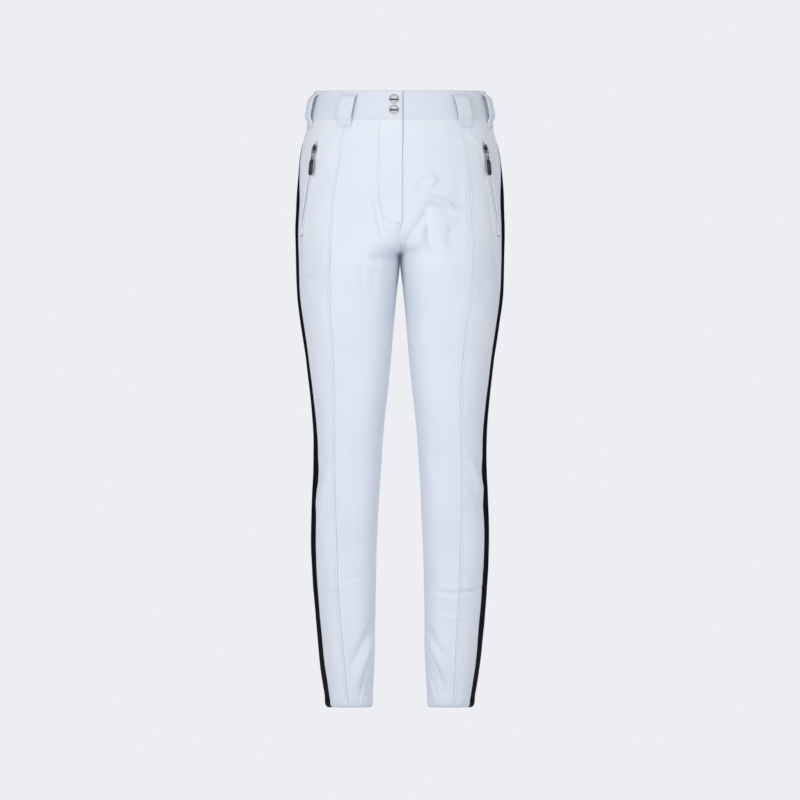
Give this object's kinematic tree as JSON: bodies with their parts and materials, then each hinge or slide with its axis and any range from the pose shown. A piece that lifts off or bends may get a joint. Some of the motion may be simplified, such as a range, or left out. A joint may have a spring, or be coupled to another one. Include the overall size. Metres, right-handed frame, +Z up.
{
  "type": "ski pants",
  "caption": "Slim full-length ski pants with a snap-closed fly, slanted hip pocket zips, wide belt loops, princess seams and black side stripes.",
  "frame": {"origin": "centre of the waist opening, at the waistband's top edge", "axes": "+Z up along the garment's length, the front faces -Y, +X towards the wearer's left"},
  "size_m": [0.3464, 0.2381, 1.02],
  "materials": {
    "shell": "smooth pale blue-white stretch shell, fine plain weave, soft sheen",
    "stripe": "black laminated ribbed side stripe, low sheen",
    "facing": "brushed tricot facing, matt",
    "elastic": "woven elastic, fine ribs",
    "hem": "bound hem in shell cloth",
    "gaiter": "thin coated lining cloth, slight gloss",
    "pocketing": "knitted pocketing, matt",
    "snap_metal": "polished plated caps",
    "gunmetal": "dark plated metal, glossy edges",
    "pull_tab": "dark plated metal tab, satin",
    "zip_tape": "laminated zip tape",
    "zip_coil": "moulded coil"
  },
  "bodies": {
    "garment": {"front_panel_right": "shell", "front_panel_left": "shell", "side_front_panel_right": "shell", "side_front_panel_left": "shell", "back_panel_right": "shell", "back_panel_left": "shell", "side_stripe_right": "stripe", "side_stripe_left": "stripe", "waistband_right": "shell", "waistband_left": "shell", "waistband_facing_right": "facing", "waistband_facing_left": "facing", "waist_elastic": "elastic", "snap_studs": "snap_metal", "snap_backs": "snap_metal", "belt_loop_front_right": "shell", "belt_loop_front_left": "shell", "belt_loop_side_right": "shell", "belt_loop_side_left": "shell", "belt_loop_back": "shell", "fly_shield": "facing", "fly_zip_tapes": "zip_tape", "fly_zip_teeth": "zip_coil", "fly_zip_stops": "snap_metal", "pocket_zip_tapes_right": "zip_tape", "pocket_zip_tapes_left": "zip_tape", "pocket_zip_coil_right": "zip_coil", "pocket_zip_coil_left": "zip_coil", "pocket_zip_stops_right": "snap_metal", "pocket_zip_stops_left": "snap_metal", "pocket_bag_right": "pocketing", "pocket_bag_left": "pocketing", "hem_band_right": "hem", "hem_band_left": "hem", "snow_gaiter_right": "gaiter", "snow_gaiter_left": "gaiter", "gaiter_elastic_right": "elastic", "gaiter_elastic_left": "elastic"},
    "fly_flap_body": {"fly_flap": "shell", "waistband_overlap": "shell", "snap_caps": "snap_metal", "snap_sockets": "snap_metal"},
    "fly_slider_body": {"fly_slider": "gunmetal", "fly_pull": "gunmetal"},
    "pocket_slider_body_left": {"pocket_slider_left": "gunmetal"},
    "pocket_link_body_left": {"pocket_link_left": "gunmetal"},
    "pocket_pull_body_left": {"pocket_pull_left": "pull_tab"},
    "pocket_slider_body_right": {"pocket_slider_right": "gunmetal"},
    "pocket_link_body_right": {"pocket_link_right": "gunmetal"},
    "pocket_pull_body_right": {"pocket_pull_right": "pull_tab"}
  },
  "joints": [
    {"name": "fly_flap_fold", "type": "hinge", "parent": "garment", "child": "fly_flap_body", "pos_m": [-0.02731, -0.10987, -0.048], "axis": [0.178, -0.0359, -0.9834], "range_deg": [0, 120]},
    {"name": "fly_zip_slide", "type": "slide", "parent": "garment", "child": "fly_slider_body", "axis": [0, -0.0445, -0.999], "range_m": [0, 0.13]},
    {"name": "pocket_zip_run_left", "type": "hinge", "parent": "garment", "child": "pocket_slider_body_left", "pos_m": [-0.03382, 0.67671, -0.12736], "axis": [0.9567, 0.2349, 0.1722], "range_deg": [0, 10.36]},
    {"name": "pocket_link_swing_left", "type": "hinge", "parent": "pocket_slider_body_left", "child": "pocket_link_body_left", "pos_m": [0.1437, -0.05689, -0.09853], "axis": [-0.6175, -0.786, 0.0296], "range_deg": [0, 95]},
    {"name": "pocket_pull_swing_left", "type": "hinge", "parent": "pocket_link_body_left", "child": "pocket_pull_body_left", "pos_m": [0.14485, -0.05826, -0.11091], "axis": [-0.6175, -0.786, 0.0296], "range_deg": [0, 70]},
    {"name": "pocket_zip_run_right", "type": "hinge", "parent": "garment", "child": "pocket_slider_body_right", "pos_m": [0.03382, 0.67671, -0.12736], "axis": [0.9567, -0.2349, -0.1722], "range_deg": [0, 10.36]},
    {"name": "pocket_link_swing_right", "type": "hinge", "parent": "pocket_slider_body_right", "child": "pocket_link_body_right", "pos_m": [-0.1437, -0.05689, -0.09853], "axis": [-0.6175, 0.786, -0.0296], "range_deg": [0, 95]},
    {"name": "pocket_pull_swing_right", "type": "hinge", "parent": "pocket_link_body_right", "child": "pocket_pull_body_right", "pos_m": [-0.14485, -0.05826, -0.11091], "axis": [-0.6175, 0.786, -0.0296], "range_deg": [0, 70]}
  ]
}
